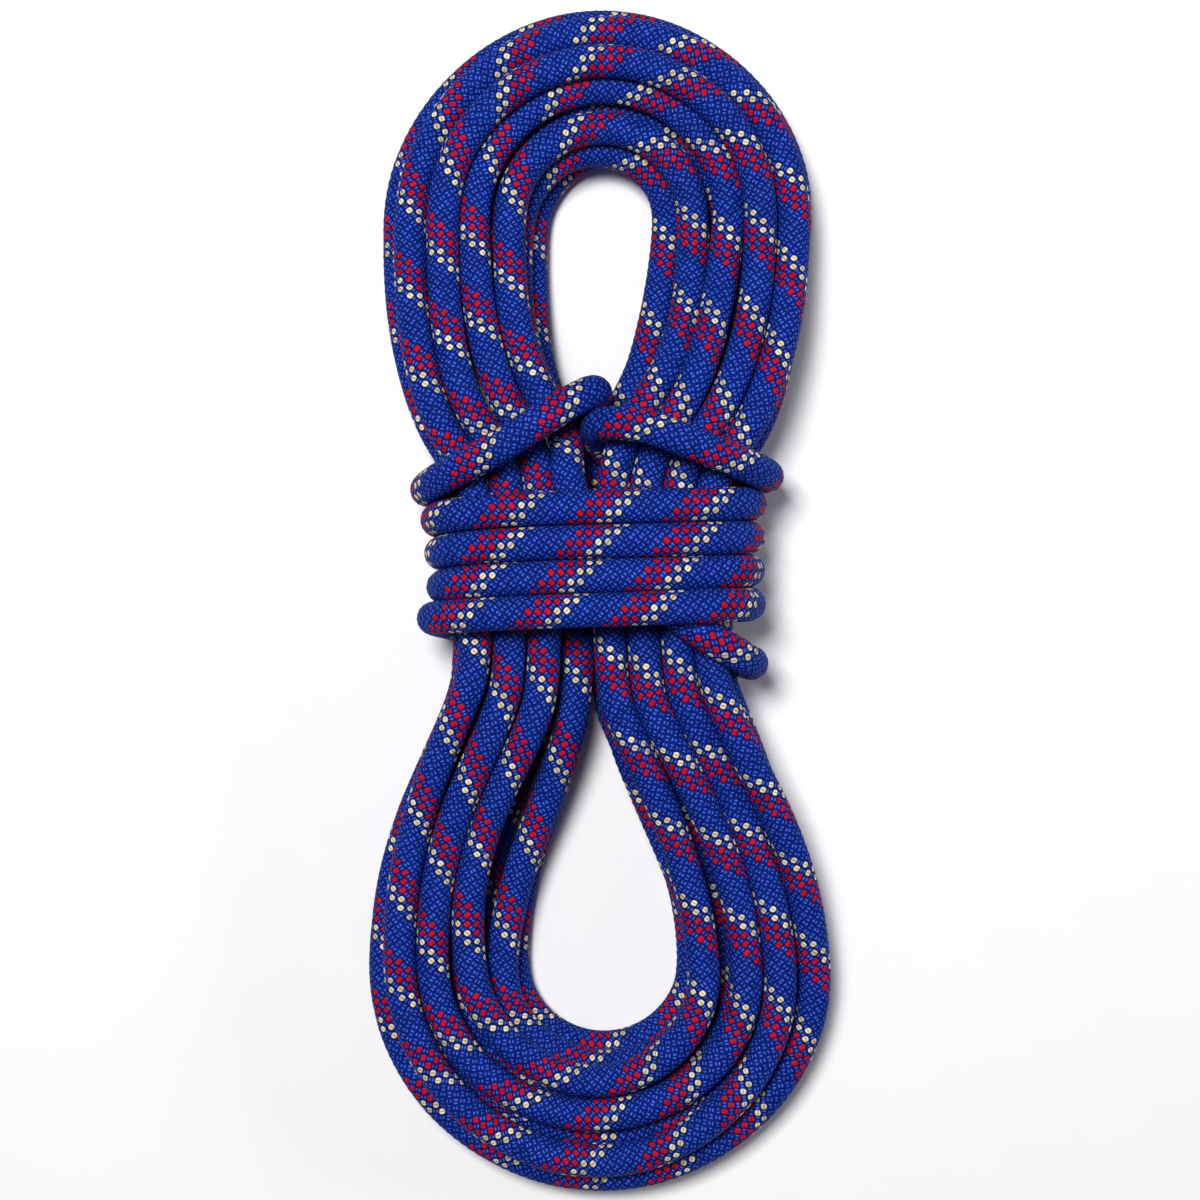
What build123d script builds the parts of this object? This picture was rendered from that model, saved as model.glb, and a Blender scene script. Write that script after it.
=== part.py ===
from build123d import *

import os
from math import cos, hypot, pi, radians, sin, tan

# A dynamic climbing rope, coiled into a pinched oval hank and tied off round its waist.
# X runs across the hank, Y along it and Z up from the surface that it lies on.
# The rope is one length: a hollow woven sheath over a core, cut into named stretches.

# Driving dimensions, in millimetres
ROPE_DIAMETER = 10.0
SHEATH_WALL = 1.05
CORE_CLEARANCE = 0.05
STRAND_GAP = 0.3
ROW_GAP = 0.6
UPPER_LOBE = 118.5
LOWER_LOBE = 144.5
UPPER_EYE_RADIUS = 21.0
LOWER_EYE_RADIUS = 27.0
WRAP_COUNT = 4
WRAP_START_Y = -17.0
SLEEVE_LENGTH = 12.0
SLEEVE_WALL = 0.4
TIP_LENGTH = 3.0
TIP_ROUNDING = 1.2

# Worked out from the driving dimensions
ROPE_RADIUS = ROPE_DIAMETER / 2
CORE_RADIUS = ROPE_RADIUS - SHEATH_WALL - CORE_CLEARANCE
PITCH = ROPE_DIAMETER + STRAND_GAP
ROW_PITCH = ROPE_DIAMETER + ROW_GAP
COLUMNS = 4
ROWS = 3
FLOOR_LEVEL = ROPE_RADIUS
TOP_ROW_LEVEL = FLOOR_LEVEL + PITCH + (ROWS - 1) * ROW_PITCH
LOCK_LEVEL = TOP_ROW_LEVEL + PITCH
WRAP_LEVEL = LOCK_LEVEL + PITCH

# Share of the shorter run that a corner's arc uses up
ARC_SHARE = 0.45

# Lanes (column from the eye outwards, row from the surface up) that the turns fill in order.
# Each turn starts in one lane and moves over to the next one on its way round.
LANES = [(3, 0), (2, 0), (1, 0), (0, 0), (0, 1), (1, 1), (2, 1), (3, 1), (3, 2), (2, 2), (1, 2), (0, 2)]
TURN_COUNT = len(LANES) - 1
FIRST_SHIFT = 0.05
LAST_SHIFT = 0.88

# Right half of the innermost lane's outline. The ends of the two eyes are round.
END_ANGLES = (11.25, 33.75, 56.25, 78.75)
UPPER_END_SPREADS = (1.21, 1.15, 1.16, 1.21)
LOWER_END_SPREADS = (1.05, 1.03, 1.0, 1.0)
# Sides, from the waist outwards: share of the eye's width, share of the lobe, lane spread
UPPER_SIDE = [(0.72, 0.44, 1.13), (0.91, 0.575, 1.18), (1.0, 0.72, 1.2)]
LOWER_SIDE = [(0.176, 0.353, 1.03), (0.474, 0.4775, 1.06), (0.771, 0.602, 1.07), (0.955, 0.72, 1.06)]
WAIST_TOP = 19.0
WAIST_BOTTOM = -36.0
CROTCH_Y = 36.0
CROTCH_WIDTH = 1.165 * PITCH
CROTCH_SPREAD = 1.07

# The waist lies over the back wraps, and the lobes come down to the surface
RAISED_TOP = 52.0
RAISED_BOTTOM = -42.0
LEVEL_TOP = 108.0
LEVEL_BOTTOM = -98.0


def smooth(share):
    """Ease from 0 to 1 as share goes from 0 to 1."""
    share = min(max(share, 0.0), 1.0)
    return share * share * (3 - 2 * share)


def raise_at(y):
    """Height of the bundle above its level in the lobes."""
    if y > 0:
        return PITCH * smooth((LEVEL_TOP - y) / (LEVEL_TOP - RAISED_TOP))
    return PITCH * smooth((LEVEL_BOTTOM - y) / (LEVEL_BOTTOM - RAISED_BOTTOM))


def outline():
    """Stations of the innermost lane as (x, y, spread), counterclockwise from the left waist."""
    half = PITCH / 2
    corner = 1 / cos(radians(END_ANGLES[0]))
    right = []
    for angle, spread in reversed(list(zip(END_ANGLES, LOWER_END_SPREADS))):
        reach = LOWER_EYE_RADIUS * corner
        x = reach * cos(radians(angle))
        right.append((x, LOWER_EYE_RADIUS - LOWER_LOBE - reach * sin(radians(angle)), spread))
    for width, height, spread in reversed(LOWER_SIDE):
        right.append((half + width * (LOWER_EYE_RADIUS - half), -height * LOWER_LOBE, spread))
    right.append((half, WAIST_BOTTOM, 1.0))
    right.append((half, WAIST_TOP, 1.0))
    right.append((CROTCH_WIDTH, CROTCH_Y, CROTCH_SPREAD))
    for width, height, spread in UPPER_SIDE:
        right.append((half + width * (UPPER_EYE_RADIUS - half), height * UPPER_LOBE, spread))
    for angle, spread in zip(END_ANGLES, UPPER_END_SPREADS):
        reach = UPPER_EYE_RADIUS * corner
        x = reach * cos(radians(angle))
        right.append((x, UPPER_LOBE - UPPER_EYE_RADIUS + reach * sin(radians(angle)), spread))
    left = [(-x, y, spread) for x, y, spread in right]
    waist = [y for x, y, spread in left].index(WAIST_BOTTOM)
    return left[waist::-1] + right + left[:waist:-1]


def lane_points(column):
    """The outline moved outwards by a number of lanes, with parallel runs kept apart."""
    stations = outline()
    points = []
    for i, (x, y, spread) in enumerate(stations):
        before = stations[i - 1]
        after = stations[(i + 1) % len(stations)]
        normals = []
        for start, end in ((before, (x, y)), ((x, y), after)):
            length = hypot(end[0] - start[0], end[1] - start[1])
            normals.append(((end[1] - start[1]) / length, (start[0] - end[0]) / length))
        (ax, ay), (bx, by) = normals
        offset = column * PITCH * spread / (1 + ax * bx + ay * by)
        points.append((x + offset * (ax + bx), y + offset * (ay + by)))
    return points


def loop_shares():
    """How far round the loop each station is, from 0 to 1."""
    points = lane_points((COLUMNS - 1) / 2)
    lengths = [hypot(b[0] - a[0], b[1] - a[1]) for a, b in zip(points, points[1:] + points[:1])]
    return [sum(lengths[:i]) / sum(lengths) for i in range(len(lengths))]


def lane_at(turn, share):
    """Column and row of a turn at a place round the loop."""
    lag = (LAST_SHIFT - FIRST_SHIFT) / (TURN_COUNT + 1)
    start = FIRST_SHIFT + (TURN_COUNT - 1 - turn) * lag
    moved = smooth((share - start) / (2 * lag))
    (column, row), (next_column, next_row) = LANES[turn], LANES[turn + 1]
    return column + moved * (next_column - column), row + moved * (next_row - row)


def bundle_point(station, column, row):
    """A corner of the route inside the bundle."""
    whole = int(min(column, COLUMNS - 2))
    (ax, ay), (bx, by) = LANE_TABLE[whole][station], LANE_TABLE[whole + 1][station]
    share = column - whole
    x = ax + share * (bx - ax)
    y = ay + share * (by - ay)
    return x, y, FLOOR_LEVEL + raise_at(y) + row * ROW_PITCH


def side_x(y):
    """How far out a strand goes that lies against the side of the bundle's waist."""
    points = [point for point in LANE_TABLE[COLUMNS] if point[0] > 0]
    for (ax, ay), (bx, by) in zip(points, points[1:]):
        if ay <= y <= by:
            return ax + (bx - ax) * (y - ay) / (by - ay)


LANE_TABLE = [lane_points(column) for column in range(COLUMNS + 1)]
LOOP_SHARES = loop_shares()
STATION_COUNT = len(LOOP_SHARES)

# The rope's route: corners as (point, radius), where no radius means as large as the runs allow
route = []
sections = []


def begin(name):
    """Start a new stretch of rope in the middle of the run before the next corner."""
    sections.append((name, len(route)))


def corner(x, y, z, radius=None):
    """Add a corner to the route."""
    route.append(((x, y, z), radius))


def side_corners(side, y, rise, level):
    """Go round the side of the waist, from its front to its back or the other way."""
    heights = (level, FLOOR_LEVEL) if side > 0 else (FLOOR_LEVEL, level)
    for height, step in zip(heights, (0.0, rise)):
        front = height > FLOOR_LEVEL and level == WRAP_LEVEL
        corner(side * side_x(y + ROPE_RADIUS), y + step, height, 2 * PITCH if front else PITCH)


# The first end lies at the back, in the lowest outer lane above the waist, part of a run in
START_STATION = STATION_COUNT - 3
START_SHARE = 0.7
begin("start")
below = bundle_point(START_STATION, *LANES[0])
above = bundle_point(START_STATION - 1, *LANES[0])
corner(*[(1 - START_SHARE) * a + START_SHARE * b for a, b in zip(below, above)])
for station in range(START_STATION, STATION_COUNT):
    corner(*bundle_point(station, *LANES[0]))

# The coil, turn by turn. The last turn leaves the bundle before the waist.
for turn in range(TURN_COUNT):
    begin(f"turn_{turn + 1:02d}")
    last = STATION_COUNT - 1 if turn == TURN_COUNT - 1 else STATION_COUNT
    for station in range(last):
        corner(*bundle_point(station, *lane_at(turn, LOOP_SHARES[station])))

# Rise of the lead and the lock where they go round the side of the waist
SIDE_RISE = 1.0
# Corners of the lead, as x in lanes and y in millimetres, and how far below the first wrap it goes round
LEAD = [(-0.63, 21.0), (2.3, -14.0)]
LEAD_DROP = 12.0

# Under the wraps, slanting across the front to the right side and round to the back
begin("wrap_lead")
for x, y in LEAD:
    corner(x * PITCH, y, LOCK_LEVEL)
side_corners(1, WRAP_START_Y - LEAD_DROP, SIDE_RISE, LOCK_LEVEL)
for wrap in range(WRAP_COUNT):
    if wrap > 0:
        begin(f"wrap_{wrap}")
    y = WRAP_START_Y + wrap * PITCH
    side_corners(-1, y - PITCH / 4, PITCH / 4, WRAP_LEVEL)
    side_corners(1, y + PITCH / 4, PITCH / 4, WRAP_LEVEL)

# The lock: up through the upper eye, over the right bundle, across the back and over the left one
RISER_Y = 34.0
LOCK_SIDE_Y = RISER_Y - 2.0
LOCK_BACK_Y = RISER_Y + 1.1 * PITCH
LOCK_BACK_X = 1.2 * PITCH
DIVE_Y = RISER_Y + 1.3 * PITCH
DIVE_DROP = 21.0
begin(f"wrap_{WRAP_COUNT}")
corner(0.0, RISER_Y, FLOOR_LEVEL, PITCH)
begin("lock_right")
corner(0.0, RISER_Y, LOCK_LEVEL, PITCH)
side_corners(1, LOCK_SIDE_Y, SIDE_RISE, LOCK_LEVEL)
begin("lock_back")
corner(LOCK_BACK_X, LOCK_BACK_Y, FLOOR_LEVEL)
corner(-LOCK_BACK_X, LOCK_BACK_Y, FLOOR_LEVEL)
begin("lock_left")
side_corners(-1, DIVE_Y - DIVE_DROP, SIDE_RISE, LOCK_LEVEL)
corner(0.0, DIVE_Y, LOCK_LEVEL, PITCH)
TAIL_BOTTOM = FLOOR_LEVEL + ROPE_RADIUS + STRAND_GAP + SLEEVE_WALL
begin("tail")
corner(0.0, DIVE_Y, TAIL_BOTTOM)
sections.append(("end", len(route)))


def run_between(a, b):
    """Vector from one point to another."""
    return Vector(*b) - Vector(*a)


def arc_radius(before, point, after):
    """The largest radius that the rule for a cord's corner allows."""
    run_in = run_between(before, point)
    run_out = run_between(point, after)
    half_turn = radians(run_in.get_angle(run_out)) / 2
    return ARC_SHARE * min(run_in.length, run_out.length) / tan(half_turn)


def stretch(first, stop):
    """Points and radii of one stretch, from the middle of a run to the middle of another."""
    points = [route[i][0] for i in range(first, stop)]
    radii = []
    for i in range(max(first, 1), min(stop, len(route) - 1)):
        point, radius = route[i]
        radii.append(radius or arc_radius(route[i - 1][0], point, route[i + 1][0]))
    if first > 0:
        points.insert(0, tuple((Vector(*route[first - 1][0]) + Vector(*route[first][0])) / 2))
    if stop < len(route):
        points.append(tuple((Vector(*route[stop - 1][0]) + Vector(*route[stop][0])) / 2))
    return points, radii


def tube(points, radii, outer, inner=0.0):
    """A tube, or a solid rod when there is no inner radius, along straight runs and arcs."""
    with BuildPart() as rod:
        with BuildLine() as path:
            if radii:
                FilletPolyline(*points, radius=radii)
            else:
                Line(*points)
        with BuildSketch(Plane(path.line @ 0, z_dir=path.line % 0)):
            Circle(outer)
            if inner > 0:
                Circle(inner, mode=Mode.SUBTRACT)
        sweep(path=path.wires()[0])
    length = path.wires()[0].length
    section = pi * (outer ** 2 - inner ** 2)
    print(f"  length {length:.1f}, volume over section x length {rod.part.volume / section / length:.4f}")
    return rod.part, length


def sleeve_and_tip(end, towards, name):
    """A shrunk sleeve round a rope end and the melted tip that seals it."""
    into = run_between(end, towards).normalized()
    with BuildPart() as sleeve:
        with BuildSketch(Plane(Vector(*end), z_dir=into)):
            Circle(ROPE_RADIUS + CORE_CLEARANCE + SLEEVE_WALL)
            Circle(ROPE_RADIUS + CORE_CLEARANCE, mode=Mode.SUBTRACT)
        extrude(amount=SLEEVE_LENGTH)
    with BuildPart() as tip:
        with BuildSketch(Plane(Vector(*end), z_dir=into)):
            Circle(ROPE_RADIUS)
        extrude(amount=TIP_LENGTH)
        outer_face = tip.faces().sort_by(lambda face: (face.center() - Vector(*end)).length)[0]
        fillet(outer_face.edges(), TIP_ROUNDING)
    pieces[f"sleeve_{name}"] = sleeve.part
    pieces[f"tip_{name}"] = tip.part


pieces = {}
rope_length = 0.0

# The melted tips take the place of the last few millimetres of sheath and core
ends = []
for end, beside in ((0, 1), (-1, -2)):
    point = route[end][0]
    inwards = run_between(point, route[beside][0]).normalized()
    ends.append((point, route[beside][0]))
    route[end] = (tuple(Vector(*point) + inwards * TIP_LENGTH), None)
sleeve_and_tip(*ends[0], "start")
sleeve_and_tip(*ends[1], "tail")

for (name, first), (_, stop) in zip(sections, sections[1:]):
    points, radii = stretch(first, stop)
    print(name, "radii", [round(radius, 1) for radius in radii])
    pieces[f"sheath_{name}"], length = tube(points, radii, ROPE_RADIUS, ROPE_RADIUS - SHEATH_WALL)
    pieces[f"core_{name}"], _ = tube(points, radii, CORE_RADIUS)
    rope_length += length
print(f"rope length {rope_length + 2 * TIP_LENGTH:.0f}")

# The origin goes to the middle of the hank's footprint
boxes = [piece.bounding_box() for piece in pieces.values()]
low = Vector(min(box.min.X for box in boxes), min(box.min.Y for box in boxes))
high = Vector(max(box.max.X for box in boxes), max(box.max.Y for box in boxes))
middle = (low + high) / 2
print("moved by", -middle)

os.makedirs("parts", exist_ok=True)
for name, piece in pieces.items():
    placed = piece.moved(Location(-middle))
    placed.label = name
    export_step(placed, f"parts/{name}.step")
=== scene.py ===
import logging
import math
from dataclasses import dataclass, field
from enum import Enum
from typing import Sequence

import bmesh
import bpy
import numpy as np
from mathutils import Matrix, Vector


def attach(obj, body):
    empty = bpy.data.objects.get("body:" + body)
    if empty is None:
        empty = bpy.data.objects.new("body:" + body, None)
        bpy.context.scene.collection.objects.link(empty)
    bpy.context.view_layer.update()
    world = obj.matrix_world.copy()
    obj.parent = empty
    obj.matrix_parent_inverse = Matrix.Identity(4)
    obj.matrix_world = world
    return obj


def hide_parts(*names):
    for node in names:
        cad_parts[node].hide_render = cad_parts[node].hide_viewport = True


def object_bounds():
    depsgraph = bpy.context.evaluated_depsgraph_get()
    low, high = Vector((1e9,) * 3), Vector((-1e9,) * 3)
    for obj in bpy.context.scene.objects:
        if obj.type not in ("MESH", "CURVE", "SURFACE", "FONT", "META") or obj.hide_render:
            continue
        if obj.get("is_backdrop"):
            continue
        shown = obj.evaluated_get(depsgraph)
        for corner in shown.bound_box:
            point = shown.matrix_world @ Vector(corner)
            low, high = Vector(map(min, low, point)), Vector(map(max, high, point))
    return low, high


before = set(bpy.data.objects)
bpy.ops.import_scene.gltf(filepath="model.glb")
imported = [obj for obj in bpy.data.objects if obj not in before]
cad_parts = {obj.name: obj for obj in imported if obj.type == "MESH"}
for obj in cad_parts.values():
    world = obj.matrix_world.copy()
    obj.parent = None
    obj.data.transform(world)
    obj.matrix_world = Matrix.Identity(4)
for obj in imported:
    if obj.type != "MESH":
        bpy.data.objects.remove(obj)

logging.basicConfig(level=logging.INFO, format="%(levelname)s %(message)s")
LOG = logging.getLogger("rope_hank")

MM = 0.001

Point = tuple[float, float, float]
Station = tuple[float, float, float]
Colour = tuple[float, float, float, float]
Input = bpy.types.NodeSocket | float | Colour | None


@dataclass(frozen=True)
class Rope:
    """The rope's round section: a core inside a woven sheath."""

    diameter: float = 10.0 * MM
    sheath_wall: float = 1.05 * MM
    core_gap: float = 0.05 * MM

    @property
    def radius(self) -> float:
        """Half the diameter."""
        return self.diameter / 2

    @property
    def core_radius(self) -> float:
        """The core just clears the inside of the sheath."""
        return self.radius - self.sheath_wall - self.core_gap


ROPE = Rope()


@dataclass
class Stretch:
    """A named stretch of the rope, from its first control point to the next stretch's."""

    name: str
    first: int
    stop: int


def smooth(share: float) -> float:
    """Ease from 0 to 1.

    Args:
        share: How far along, clamped to the range 0 to 1.

    Returns:
        The eased value.
    """
    share = min(max(share, 0.0), 1.0)
    return share * share * (3 - 2 * share)


@dataclass(frozen=True)
class Lobe:
    """The innermost lane's way round one eye, on its right half, with y counted from the waist outwards.

    A side station is a share of the eye's half width, a share of the reach and a spread. A spread
    says how far apart the lanes lie at a station, against the pitch.
    """

    reach: float
    eye_radius: float
    end_spreads: tuple[float, ...]
    side: tuple[tuple[float, float, float], ...]
    end_angles: tuple[float, ...] = (11.25, 33.75, 56.25, 78.75)

    def stations(self, half: float) -> list[Station]:
        """Stations from the waist up the side and round the end.

        Args:
            half: Half the gap between the two innermost strands at the waist.

        Returns:
            Each station's x, y and spread.
        """
        out = [(half + width * (self.eye_radius - half), height * self.reach, spread)
               for width, height, spread in self.side]
        centre = self.reach - self.eye_radius
        corner = self.eye_radius * (1 / math.cos(math.radians(self.end_angles[0])))
        for angle, spread in zip(self.end_angles, self.end_spreads):
            turn = math.radians(angle)
            out.append((corner * math.cos(turn), centre + corner * math.sin(turn), spread))
        return out


@dataclass
class Lanes:
    """The side-by-side lanes that the turns run in, worked out from the innermost one."""

    pitch: float = 10.2 * MM
    count: int = 4
    waist_top: float = 19.0 * MM
    waist_bottom: float = -36.0 * MM
    crotch: Station = (8.2 * MM, 39.0 * MM, 1.05)
    upper: Lobe = Lobe(reach=125.5 * MM, eye_radius=23.0 * MM, end_spreads=(1.08, 1.06, 1.06, 1.08),
                       side=((0.72, 0.44, 1.05), (0.91, 0.575, 1.06), (1.0, 0.72, 1.07)))
    lower: Lobe = Lobe(reach=149.0 * MM, eye_radius=29.0 * MM, end_spreads=(1.05, 1.03, 1.0, 1.0),
                       side=((0.176, 0.353, 1.0), (0.474, 0.4775, 1.03), (0.771, 0.602, 1.06),
                             (0.955, 0.72, 1.06)))
    places: list[np.ndarray] = field(init=False)
    shares: np.ndarray = field(init=False)

    def __post_init__(self) -> None:
        """Lay out the lanes, and how far round the middle one each station is, from 0 to 1."""
        self.places = [self._lane(column) for column in range(self.count + 1)]
        middle = self._lane((self.count - 1) / 2)
        lengths = np.linalg.norm(np.roll(middle, -1, axis=0) - middle, axis=1)
        self.shares = np.concatenate([[0.0], np.cumsum(lengths)[:-1]]) / lengths.sum()

    def _outline(self) -> list[Station]:
        """Join both lobes and the waist into the innermost lane.

        Returns:
            Its stations, counterclockwise from the left waist.
        """
        half = self.pitch / 2
        right = [(x, -y, spread) for x, y, spread in reversed(self.lower.stations(half))]
        right += [(half, self.waist_bottom, 1.0), (half, self.waist_top, 1.0), self.crotch]
        right += self.upper.stations(half)
        left = [(-x, y, spread) for x, y, spread in right]
        waist = [y for _, y, _ in left].index(self.waist_bottom)
        return left[waist::-1] + right + left[:waist:-1]

    def _lane(self, column: float) -> np.ndarray:
        """The outline moved outwards by a number of lanes.

        Args:
            column: How many lanes out, which may be a fraction.

        Returns:
            The lane's stations as x and y.
        """
        stations = np.array(self._outline())
        places = stations[:, :2]
        run = np.roll(places, -1, axis=0) - places
        normal = np.stack([run[:, 1], -run[:, 0]], axis=1) / np.linalg.norm(run, axis=1)[:, None]
        before = np.roll(normal, 1, axis=0)
        reach = column * self.pitch * stations[:, 2] / (1 + (normal * before).sum(axis=1))
        return places + (normal + before) * reach[:, None]

    def place(self, station: int, column: float) -> np.ndarray:
        """Find a station in a lane or between two lanes.

        Args:
            station: Number of the station round the loop.
            column: Lane, counted outwards, which may be a fraction.

        Returns:
            The station's x and y.
        """
        whole = int(min(max(math.floor(column), 0), self.count - 1))
        place = self.places[whole][station] * (1 - column + whole)
        return place + self.places[whole + 1][station] * (column - whole)


@dataclass
class Bundle:
    """The heap of turns: the lane and row of each, and how loosely they lie in the lobes.

    A sway is a height in lanes, a number of waves round the loop and a lag from turn to turn.
    """

    lanes: Lanes = field(default_factory=Lanes)
    order: tuple[tuple[int, int], ...] = ((3, 0), (2, 0), (1, 0), (0, 0), (0, 1), (1, 1), (2, 1), (3, 1),
                                          (3, 2), (2, 2), (1, 2), (0, 2))
    row_pitch: float = 9.0 * MM
    heap_spreads: tuple[float, ...] = (1.0, 1.02, 0.88)
    heap_offsets: tuple[float, ...] = (0.0, 0.15, 0.45)
    innermost: float = -0.1
    outermost: float = 3.6
    sways: tuple[tuple[float, int, float], ...] = ((0.2, 2, 0.37), (0.15, 3, 0.71))
    top_row_rise_mm: float = 2.5
    rise_lag: float = 0.43
    waist_middle: float = 5.0 * MM
    tight_reach: float = 34.0 * MM
    loosening: float = 40.0 * MM
    upper_drop: tuple[float, float] = (105.0 * MM, 62.0 * MM)
    lower_drop: tuple[float, float] = (95.0 * MM, 56.0 * MM)
    first_shift: float = 0.05
    last_shift: float = 0.88

    @property
    def turns(self) -> int:
        """The number of turns round the loop, each from one lane of the order to the next."""
        return len(self.order) - 1

    def looseness(self, y: float) -> float:
        """How freely the strands lie at a place along the hank: 0 under the wraps, 1 out in the lobes."""
        return smooth((abs(y - self.waist_middle) - self.tight_reach) / self.loosening)

    def raised(self, y: float) -> float:
        """How far the bundle lies above its level in the lobes, to make room for the back wraps.

        Args:
            y: Place along the hank.

        Returns:
            The height.
        """
        if y > 0:
            return ROPE.diameter * smooth((self.upper_drop[0] - y) / self.upper_drop[1])
        return ROPE.diameter * smooth((self.lower_drop[0] + y) / self.lower_drop[1])

    def lane_at(self, turn: int, share: float) -> tuple[float, float]:
        """Where a turn runs at a place round the loop, as it moves over to the next lane.

        Args:
            turn: Number of the turn, from 0.
            share: How far round the loop, from 0 to 1.

        Returns:
            The column and the row.
        """
        lag = (self.last_shift - self.first_shift) / (self.turns + 1)
        start = self.first_shift + (self.turns - 1 - turn) * lag
        moved = smooth((share - start) / (2 * lag))
        column, row = self.order[turn]
        next_column, next_row = self.order[turn + 1]
        return column + moved * (next_column - column), row + moved * (next_row - row)

    def point(self, station: int, column: float, row: float, turn: int) -> Point:
        """A control point inside the bundle, a little uneven from turn to turn.

        Args:
            station: Number of the station round the loop.
            column: Lane, counted outwards.
            row: Row, counted upwards.
            turn: Which turn it is, for its unevenness.

        Returns:
            The point.
        """
        share = self.lanes.shares[station]
        loose = self.looseness(self.lanes.places[0][station][1])
        sway = sum(size * math.sin(2 * math.pi * (waves * share + lag * turn))
                   for size, waves, lag in self.sways)
        rows = range(len(self.heap_spreads))
        heaped = column * np.interp(row, rows, self.heap_spreads) + np.interp(row, rows, self.heap_offsets)
        column = min(max(column + loose * (heaped - column + sway), self.innermost), self.outermost)
        x, y = self.lanes.place(station, column)
        pitch = ROPE.diameter + loose * (self.row_pitch - ROPE.diameter)
        wave = math.sin(2 * math.pi * (2 * share + self.rise_lag * turn))
        rise = loose * max(row - 1, 0) * self.top_row_rise_mm * MM * wave
        return x, y, ROPE.radius + row * pitch + self.raised(y) + rise


@dataclass(frozen=True)
class Wraps:
    """The wraps round the waist, each a squarish oval that climbs by a pitch a turn."""

    count: int = 4
    steps: int = 14
    pitch: float = 9.6 * MM
    start_y: float = -15.0 * MM
    half_width: float = 44.4 * MM
    top: float = 52.0 * MM
    squareness: float = 0.7
    start_angle: float = -0.2

    def point(self, wrap: int, step: int) -> Point:
        """A control point of one wrap, from its left side over the front and back again.

        Args:
            wrap: Number of the wrap, from 0.
            step: Number of the point in the wrap, from 0.

        Returns:
            The point.
        """
        turned = 2 * math.pi * (step + 0.5) / self.steps + self.start_angle
        across, up = -math.cos(turned), math.sin(turned)
        middle = (self.top + ROPE.radius) / 2
        x = self.half_width * math.copysign(abs(across) ** self.squareness, across)
        z = middle + (middle - ROPE.radius) * math.copysign(abs(up) ** self.squareness, up)
        return x, self.start_y + self.pitch * (wrap + step / self.steps), z


@dataclass
class HankRoute:
    """The rope's route from its first end to its tail, as control points."""

    bundle: Bundle = field(default_factory=Bundle)
    wraps: Wraps = Wraps()
    start_stations: int = 3
    waist_shift: float = -3.4 * MM
    reach_of_shift: float = 150.0 * MM
    points: list[Point] = field(default_factory=list)
    starts: list[tuple[str, int]] = field(default_factory=list)

    def _begin(self, name: str) -> None:
        """Start a new named stretch before the next control point."""
        self.starts.append((name, len(self.points)))

    def _add(self, *points: Point) -> None:
        """Add control points given in millimetres."""
        self.points += [(x * MM, y * MM, z * MM) for x, y, z in points]

    def _lay_turns(self) -> None:
        """The short start under the left bundle, and every turn round the loop."""
        bundle = self.bundle
        count = len(bundle.lanes.shares)
        self._begin("start")
        for station in range(count - self.start_stations - 1, count):
            self.points.append(bundle.point(station, *bundle.order[0], 0))
        for turn in range(bundle.turns):
            self._begin(f"turn_{turn + 1:02d}")
            last = count - 1 if turn == bundle.turns - 1 else count
            for station in range(last):
                lane = bundle.lane_at(turn, bundle.lanes.shares[station])
                self.points.append(bundle.point(station, *lane, turn + 1))

    def _lay_wraps(self) -> None:
        """The slant down to the right and behind, and the wraps from the bottom up."""
        wraps = self.wraps
        self._begin("wrap_lead")
        self._add((-9, 26, 42), (-3, 15, 46), (8, 3, 47), (19, -8, 47), (30, -18, 45))
        self._add((39, -25, 38), (44, -28, 24), (40, -27, 9), (20, -25, 5), (-8, -22, 5), (-30, -19, 5))
        for wrap in range(wraps.count):
            if wrap > 0:
                self._begin(f"wrap_{wrap}")
            for step in range(wraps.steps if wrap < wraps.count - 1 else wraps.steps // 2 + 2):
                self.points.append(wraps.point(wrap, step))
        self._begin(f"wrap_{wraps.count}")
        self._add((30, 22, 12), (17, 26, 13), (7, 31, 15), (0, 36, 22))

    def _lay_locks(self) -> None:
        """Up through the upper eye, over the right edge, behind, over the left one and into the eye."""
        self._begin("lock_right")
        self._add((-1, 39, 34), (1, 40, 46), (12, 38, 52), (24, 32, 52), (36, 26, 45))
        self._begin("lock_back")
        self._add((45, 21, 34), (45, 20, 16), (36, 23, 5), (14, 26, 5), (-8, 26, 5), (-30, 23, 5))
        self._begin("lock_left")
        self._add((-44, 19, 12), (-47, 17, 30), (-39, 22, 46), (-24, 30, 54), (-11, 40, 54), (-1, 47, 48))
        self._begin("tail")
        self._add((0, 48, 38), (-4, 45, 28), (-6, 43, 17))

    def _shift_waist(self) -> None:
        """Move the waist sideways a little, and the lobes less the further they are from it."""
        for place, (x, y, z) in enumerate(self.points):
            shift = self.waist_shift * (1 - smooth(abs(y) / self.reach_of_shift))
            self.points[place] = (x + shift, y, z)

    def build(self) -> "HankRoute":
        """Lay the whole rope out.

        Returns:
            The route itself, with its points and stretches filled in.
        """
        self._lay_turns()
        self._lay_wraps()
        self._lay_locks()
        self._shift_waist()
        return self

    def stretches(self) -> list[Stretch]:
        """The named stretches, each with its first control point and the next stretch's."""
        ends = self.starts[1:] + [("", len(self.points))]
        return [Stretch(name, first, stop) for (name, first), (_, stop) in zip(self.starts, ends)]


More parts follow.
